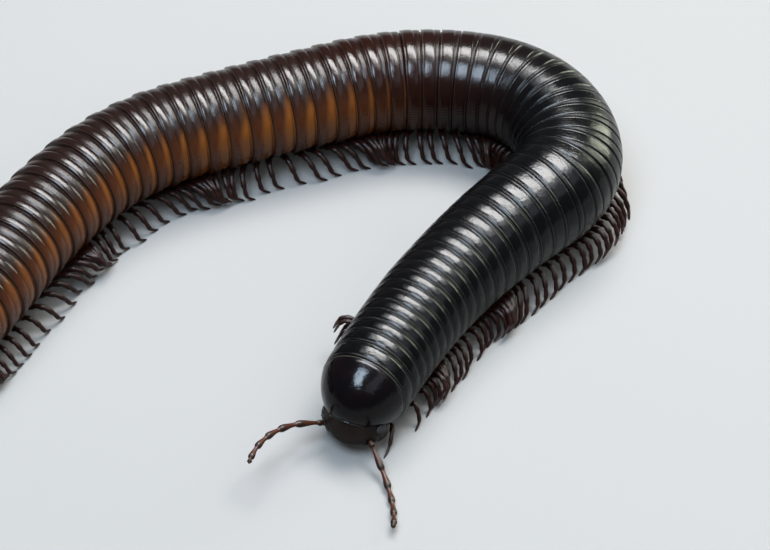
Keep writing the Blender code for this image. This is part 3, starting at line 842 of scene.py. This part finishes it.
headRows = ballRows(headLook["rows"], headLook["around"], lambda lon, lat: headPlace @ headPoint(lon, lat))
head = newPiece("headCapsule", skinMesh("headCapsule", headRows), faceHorn)
handOver(head, "black_cuticle", "head")


# plates that lie over the head: patches of its surface with a rounded edge, in mm and degrees; edge and
# roundness say how soon and how evenly a patch rises from its border
plateLook = dict(
    steps=(40, 28), wall=0.25, edge=3.2, roundness=2.5, cheekHeight=0.34, lipHeight=0.3,
    cheekRound=(68, 138), cheekUp=(-50, -4),
    lipWidth=2.3, lipTaper=0.5, lipBack=-2.75, lipLength=5.0, lipCurve=0.5)


def headPlate(name, placeAt, proud):
    look = plateLook
    across, down = look["steps"]
    outer, inner = [], []
    for i in range(down + 1):
        v = i / down
        spots = [placeAt(k / across, v) for k in range(across + 1)]
        edges = [min(k / across, 1 - k / across, v, 1 - v) * 2 for k in range(across + 1)]
        crowns = [(1 - (1 - min(edge * look["edge"], 1.0)) ** look["roundness"]) * proud for edge in edges]
        outer.append([headPlace @ headPoint(*spot, crown) for spot, crown in zip(spots, crowns)])
        inner.append([headPlace @ headPoint(*spot, -look["wall"]) for spot in spots])
    return plateMesh(name, outer, inner)


def cheekAt(side):
    (front, behind), (low, high) = plateLook["cheekRound"], plateLook["cheekUp"]
    return lambda u, v: (radians(side * (front + (behind - front) * u)), radians(low + (high - low) * v))


# the plate under the mouth, by its place to the side and from back to front
def lipAt(u, v):
    look, size = plateLook, headLook["size"]
    beside = 2 * u - 1
    x = beside * (look["lipWidth"] - look["lipTaper"] * v ** 2) / size.x
    y = (look["lipBack"] + look["lipLength"] * v + look["lipCurve"] * beside ** 2 * (0.5 - v)) / size.y
    return atan2(x, y), -acos(min(sqrt(x * x + y * y), 1.0))


for word, side in sides:
    cheek = headPlate("mandible" + word, cheekAt(side), plateLook["cheekHeight"])
    handOver(newPiece("mandible" + word, cheek, faceHorn), "black_cuticle", "mandible_" + word.lower())
lowerLip = newPiece("lowerLip", headPlate("lowerLip", lipAt, plateLook["lipHeight"]), brownHorn)
handOver(lowerLip, "brown_cuticle", "gnathochilarium")


# the eyes: a field of small facets each; spacing and field are angles on the head
eyeLook = dict(
    facetSize=0.16, segments=10, rings=6, spacing=(0.046, 0.05), field=(0.2, 0.17), reach=5, raised=0.02)


def facetTree():
    tree, given = newGeometryTree("eyeFacets", facetSize="Float")
    ball = {"Segments": eyeLook["segments"], "Rings": eyeLook["rings"], "Radius": given["facetSize"]}
    placed = {"Points": given["Geometry"], "Instance": nodeOf(tree, "GeometryNodeMeshUVSphere", ball)}
    finishTree(tree, nodeOf(tree, "GeometryNodeInstanceOnPoints", placed), given["material"])
    return tree


def eyeSpots(side):
    eye = toSide(headLook["eye"], side) - headLook["centre"]
    ray = sharesOf(eye, headLook["size"]).normalized()
    lat, lon = asin(ray.z), atan2(ray.x, ray.y)
    spots = []
    reach = range(-eyeLook["reach"], eyeLook["reach"] + 1)
    for i in reach:
        for k in reach:
            a, b = (k + 0.5 * (i % 2)) * eyeLook["spacing"][0], i * eyeLook["spacing"][1]
            if (a / eyeLook["field"][0]) ** 2 + (b / eyeLook["field"][1]) ** 2 < 1:
                spots.append(headPlace @ headPoint(lon + a / cos(lat), lat + b, eyeLook["raised"]))
    return spots


eyeTree = facetTree()
for word, side in sides:
    guide = guideMesh("eye" + word, eyeSpots(side), [])
    piece = grown("eye" + word, guide, eyeTree, facetSize=eyeLook["facetSize"] * mm, material=eyeHorn)
    handOver(piece, "eye", "eye_" + word.lower())
print("head made")


# The collum, a shield over the head: arches fanned out between its two margins

# margins: (distance from the edge in mm, depth in mm); the other sizes are in mm and degrees
collumLook = dict(
    edge=(-0.7, 7.9), slope=50.0, back=11.9, ahead=11.2, radius=8.05, hub=9.2, swing=6.8, lobe=58.0,
    overlap=0.02, wall=0.45, foldFrom=0.35, foldUntil=1.3, foldDepth=3.0, foldBend=0.6, sideLip=(0.3, 1.6),
    frontMargin=((0.0, 0.34), (0.04, 0.12), (0.10, 0.0), (0.18, -0.03), (0.26, 0.0), (0.31, 0.10),
                 (0.36, 0.16), (0.46, 0.16), (0.58, 0.07), (0.75, 0.02), (1.0, 0.0)),
    rearMargin=((0.0, 0.36), (0.04, 0.14), (0.11, 0.03), (0.2, 0.0), (0.32, 0.05), (0.4, 0.1), (0.5, 0.04),
                (0.7, 0.0), (1.0, 0.0)),
    # pale: the distances from the edge, in mm, whose rows get the painted highlight line
    pale=(0.08, 0.30), rows=34, across=128,
    furrows=(1.5, 2.3, 3.1), furrowDepth=0.09, furrowWidth=0.12, furrowFade=1.5)


def collumMesh():
    look = collumLook
    rear = -body["collum"] + look["overlap"]
    pivot = look["edge"][1] + tan(radians(look["slope"])) * (rear - look["edge"][0])
    shield = Vector((0.0, -look["back"], axisAt(body["collum"])))
    size = Vector((look["radius"], look["ahead"], look["radius"]))

    # where a ray in one of the fan's planes meets the dome, in the head's frame
    def onDome(fan, turn, depth):
        rise = Vector((0, cos(fan), sin(fan)))
        hub = Vector((0, rear, pivot)) + rise * look["hub"]
        ray = Vector((1, 0, 0)) * cos(turn) + rise * sin(turn)
        start, way = sharesOf(hub - shield, size), sharesOf(ray, size)
        b, c = start.dot(way), start.dot(start) - 1
        reach = (-b + sqrt(b * b - way.dot(way) * c)) / way.dot(way)
        return headPlace @ (hub + ray * (reach - depth))

    lowFan, highFan, lobe = radians(look["slope"]), pi / 2, radians(look["lobe"])
    front, behind = look["frontMargin"], look["rearMargin"]
    rows = [("front", distance, depth) for distance, depth in front]
    rows += [("middle", i / look["rows"], 0.0) for i in range(1, look["rows"])]
    rows += [("rear", distance, depth) for distance, depth in reversed(behind)]
    outer, inner, highlightMask = [], [], []
    for kind, value, depth in rows:
        outerRow, innerRow = [], []
        for k in range(look["across"] + 1):
            share = k / look["across"]
            turn = share * (pi + 2 * lobe) - lobe
            swing = look["hub"] + look["swing"] * sin(turn)
            frontFan = lowFan + front[-1][0] / swing
            rearFan = highFan - behind[-1][0] / swing
            fan = {"front": lowFan + value / swing, "rear": highFan - value / swing,
                   "middle": frontFan + (rearFan - frontFan) * value}[kind]
            distance = (fan - lowFan) * swing
            # furrows run along the front margin of the lower corners
            low = max(0.0, -sin(turn)) ** look["furrowFade"]
            furrow = sum(bump(distance, at, look["furrowWidth"]) for at in look["furrows"])
            fromSide = min(share, 1 - share) * look["across"]
            lip = look["sideLip"][0] * max(0.0, 1 - fromSide / look["sideLip"][1]) ** 2
            outerRow.append(onDome(fan, turn, depth + look["furrowDepth"] * low * furrow + lip))
            # behind the front margin the shield is folded in, down to the head
            folded = (distance - look["foldFrom"]) / (look["foldUntil"] - look["foldFrom"])
            fold = look["foldDepth"] * min(max(folded, 0), 1) ** look["foldBend"]
            innerRow.append(onDome(fan, turn, look["wall"] + fold))
        outer.append(outerRow)
        inner.append(innerRow)
        # rows near either margin get the painted highlight line
        onEdge = kind != "middle" and look["pale"][0] < value < look["pale"][1]
        highlightMask += [1.0 if onEdge else 0.0] * len(outerRow)
    mesh = plateMesh("collum", outer, inner)
    mark(mesh, "marginHighlight", highlightMask + [0.0] * len(highlightMask))
    return mesh


handOver(newPiece("collumShield", collumMesh(), blackHorn), "black_cuticle", "collum")
print("collum made")


# The feelers

# segments: (length, radius) in mm; each side: its base, its yaw and pitch there, their change at each joint
feelerLook = dict(
    segments=((1.2, 0.54), (4.1, 0.63), (3.4, 0.62), (2.9, 0.60), (2.7, 0.58), (2.4, 0.54), (0.7, 0.38),
              (0.25, 0.12)),
    right=((4.3, -1.9, 4.1), (51.4, 26.3), (-10.8, -5.65)),
    left=((-4.2, -1.7, 4.3), (-56.1, -35.0), (6.3, 10.2)),
    swell=((0.0, 0.64), (0.12, 0.56), (0.35, 0.68), (0.58, 0.90), (0.76, 1.04), (0.90, 0.95), (1.0, 0.64)),
    cuts=12, sides=16)


def feelerChain(base, first, change):
    place = Vector(base)
    yaw, pitch = (radians(angle) for angle in first)
    chain = [(headPlace @ place, feelerLook["segments"][0][1] * mm)]
    for length, radius in feelerLook["segments"]:
        place += Vector((sin(yaw) * cos(pitch), cos(yaw) * cos(pitch), sin(pitch))) * length
        chain.append((headPlace @ place, radius * mm))
        yaw += radians(change[0])
        pitch += radians(change[1])
    return chain


feelerTree = jointedLimbTree("jointedFeeler", feelerLook["swell"])
for word in ("right", "left"):
    guide = chainMesh("feeler", [feelerChain(*feelerLook[word])])
    piece = grown("feeler" + word.title(), guide, feelerTree, cuts=feelerLook["cuts"],
                  sides=feelerLook["sides"], material=feelerHorn)
    handOver(piece, "horn", "antenna_" + word)
print("feelers made")


# The tail end

# the cap's angles are in radians from its rim; backRise, point and scale: (height, power of the sine);
# sunkFront and sunkEnd: (depth in mm, over how many rows)
tailLook = dict(
    length=5.6, around=96, rows=26, endAngle=0.42, backRise=(0.64, 1.6), point=(0.17, 14), scale=(0.22, 9),
    sunkFront=(0.5, 1.2), sunkEnd=(0.12, 1.5), innerAngle=0.06, wall=1.1, plugs=(0.2, 1.0),
    onRing=dict(ringNumber=60.0, ringPlace=0.6, flank=0.8, across=0.2))
tailEnd = starts[body["rings"]]
tailRadius = radiusAt(tailEnd)
tailAxis = axisAt(tailEnd)
tailCentre, tailBack, tailRight, _ = planAt(tailEnd)
tailPlace = frameOf(tailCentre, -tailRight, tailBack, up)           # x to the animal's left, y tailwards


# a point of the rounded cap, sunk below its surface by a depth
def capPoint(angle, turn, depth):
    radius = (tailRadius - depth) * cos(angle)
    out = (tailLook["length"] - depth) * sin(angle)
    rise = max(sin(turn) * radius, -body["flatness"] * tailRadius)
    return tailPlace @ Vector((radius * cos(turn), out, tailAxis + rise))


# where the cap ends: high over the back with a blunt point, low beside the valves, a small scale below them
def capEnd(turn):
    look = tailLook
    end = look["endAngle"]
    for way, (height, power) in ((1, look["backRise"]), (1, look["point"]), (-1, look["scale"])):
        end += height * max(0.0, way * sin(turn)) ** power
    return end


def telsonMesh():
    look = tailLook
    turns = [tau * k / look["around"] for k in range(look["around"])]
    rows = [[tailPlace @ Vector((0, look["plugs"][0], tailAxis))]]
    for i in range(look["rows"] + 1):
        depth = 0.0
        for (sunk, over), row in ((look["sunkFront"], i), (look["sunkEnd"], look["rows"] - i)):
            depth += sunk * max(0.0, 1 - row / over)
        rows.append([capPoint(capEnd(turn) * i / look["rows"], turn, depth) for turn in turns])
    rows.append([capPoint(capEnd(turn) - look["innerAngle"], turn, look["wall"]) for turn in turns])
    rows.append([tailPlace @ Vector((0, look["plugs"][1], tailAxis))])
    return skinMesh("telson", rows)


telson = newPiece("telsonCap", telsonMesh(), shell)
for label, value in tailLook["onRing"].items():
    mark(telson.data, label, [value] * len(telson.data.vertices))
handOver(telson, "amber_cuticle", "telson")

# centre and size in mm; flat: how flat it is towards the other valve; lips: (height, place across, width)
valveLook = dict(
    rows=36, around=72, centre=(2.46, 2.6, -0.75), size=(2.42, 2.7, 4.1), flat=0.6,
    lips=((0.30, -0.90, 0.09), (-0.20, -0.70, 0.07)), lipBend=0.4)


def valveMesh(name, side):
    look = valveLook
    width, length, height = look["size"]
    centre = toSide(Vector(look["centre"]), side) + up * tailAxis

    def pointAt(lon, lat):
        x, y, z = cos(lon) * cos(lat), sin(lon) * cos(lat), sin(lat)
        if x * side < 0:
            x = -side * abs(x) ** look["flat"]
        lip = sum(rise * bump(x * side, place, reach) for rise, place, reach in look["lips"])
        out = y * length + lip * max(y, 0) ** look["lipBend"]
        return tailPlace @ (centre + Vector((x * width, out, z * height)))

    return skinMesh(name, ballRows(look["rows"], look["around"], pointAt))


for word, side in (("Left", 1), ("Right", -1)):
    valve = newPiece("valve" + word, valveMesh("valve" + word, side), brownHorn)
    handOver(valve, "brown_cuticle", "anal_valve_" + word.lower())
print("tail made")


# Floor, light and camera

# lights: direction, distance, size, brightness of the panel, colour, seen in reflections
stage = dict(
    floor=3.0, floorColour=(0.098, 0.096, 0.0935), floorShade=0.97, floorCloud=6.0, floorGrain=900.0,
    floorDepth=0.04, floorRoughness=0.8, floorIor=1.25,
    horizon=(0.11, 0.112, 0.116), zenith=(0.05, 0.053, 0.06), zenithFrom=0.7,
    lights=(("windowLight", (0.23, 0.42, 1.0), 0.8, (0.56, 0.27), 50.0, (1.0, 0.99, 0.98), True),
            ("windowGlow", (0.19, 0.35, 1.0), 0.82, (0.95, 0.44), 10.0, (0.95, 0.98, 1.0), True),
            ("skyLight", (-0.20, -0.32, 1.0), 0.9, (0.34, 0.46), 45.0, (0.67, 0.83, 1.0), True),
            ("sideLight", (0.74, -0.46, 1.0), 1.0, (1.1, 0.42), 2.0, (0.80, 0.88, 1.0), True),
            ("edgeLight", (0.80, 0.58, 0.30), 1.0, (0.38, 0.60), 15.0, (0.95, 1.0, 0.80), True),
            ("roomLight", (0.45, -0.65, 0.85), 1.1, (1.2, 1.2), 2.4, (1.0, 1.0, 1.0), False)),
    target=(21.4487, 3.9955, 0.0), distance=480.0, elevation=47.0, lens=127.9, sensor=36.0, nearest=10.0)


def floorMaterial():
    material, shader, where = newMaterial("paleFloor")
    shade = [part * stage["floorShade"] for part in stage["floorColour"]]
    colour = mixed(noiseOf(where, stage["floorCloud"]), stage["floorColour"], shade)
    normal = bumped(noiseOf(where, stage["floorGrain"]), stage["floorDepth"], 0.25)
    dress(shader, colour, normal, stage["floorRoughness"], stage["floorIor"])
    return material


half = stage["floor"] / 2
corners = [(-half, -half, 0), (half, -half, 0), (half, half, 0), (-half, half, 0)]
floorMesh = bpy.data.meshes.new("studioFloor")
floorMesh.from_pydata(corners, [], [(0, 1, 2, 3)])
newPiece("studioFloor", floorMesh, floorMaterial())

world = bpy.data.worlds.new("studioWorld")
bpy.context.scene.world = world
world.use_nodes = True
height = axisOf(nodeOf(world.node_tree, "ShaderNodeTexCoord", output="Generated"), 2)
skyTone = mixed(smoothStep(height, 0.0, stage["zenithFrom"]), stage["horizon"], stage["zenith"])
plug(world.node_tree.nodes["Background"].inputs["Color"], skyTone)


def softLight(name, direction, distance, size, brightness, colour, mirrored):
    lamp = bpy.data.lights.new(name, "AREA")
    lamp.shape = "RECTANGLE"
    lamp.size, lamp.size_y = size
    lamp.energy = brightness * pi * size[0] * size[1]
    lamp.color = colour
    obj = newObject(name, lamp)
    obj.visible_glossy = mirrored
    obj.location = Vector(direction).normalized() * distance
    obj.rotation_euler = Vector(direction).to_track_quat("Z", "Y").to_euler()


for settings in stage["lights"]:
    softLight(*settings)

camera = newObject("camera", bpy.data.cameras.new("camera"))
camera.data.sensor_fit = "HORIZONTAL"
camera.data.sensor_width = stage["sensor"]
camera.data.lens = stage["lens"]
camera.data.clip_start = stage["nearest"] * mm
tilt = radians(stage["elevation"])
camera.location = (Vector(stage["target"]) + Vector((0, -cos(tilt), sin(tilt))) * stage["distance"]) * mm
camera.rotation_euler = (pi / 2 - tilt, 0, 0)
bpy.context.scene.camera = camera
bpy.context.scene.view_settings.view_transform = "Standard"
print("stage made")
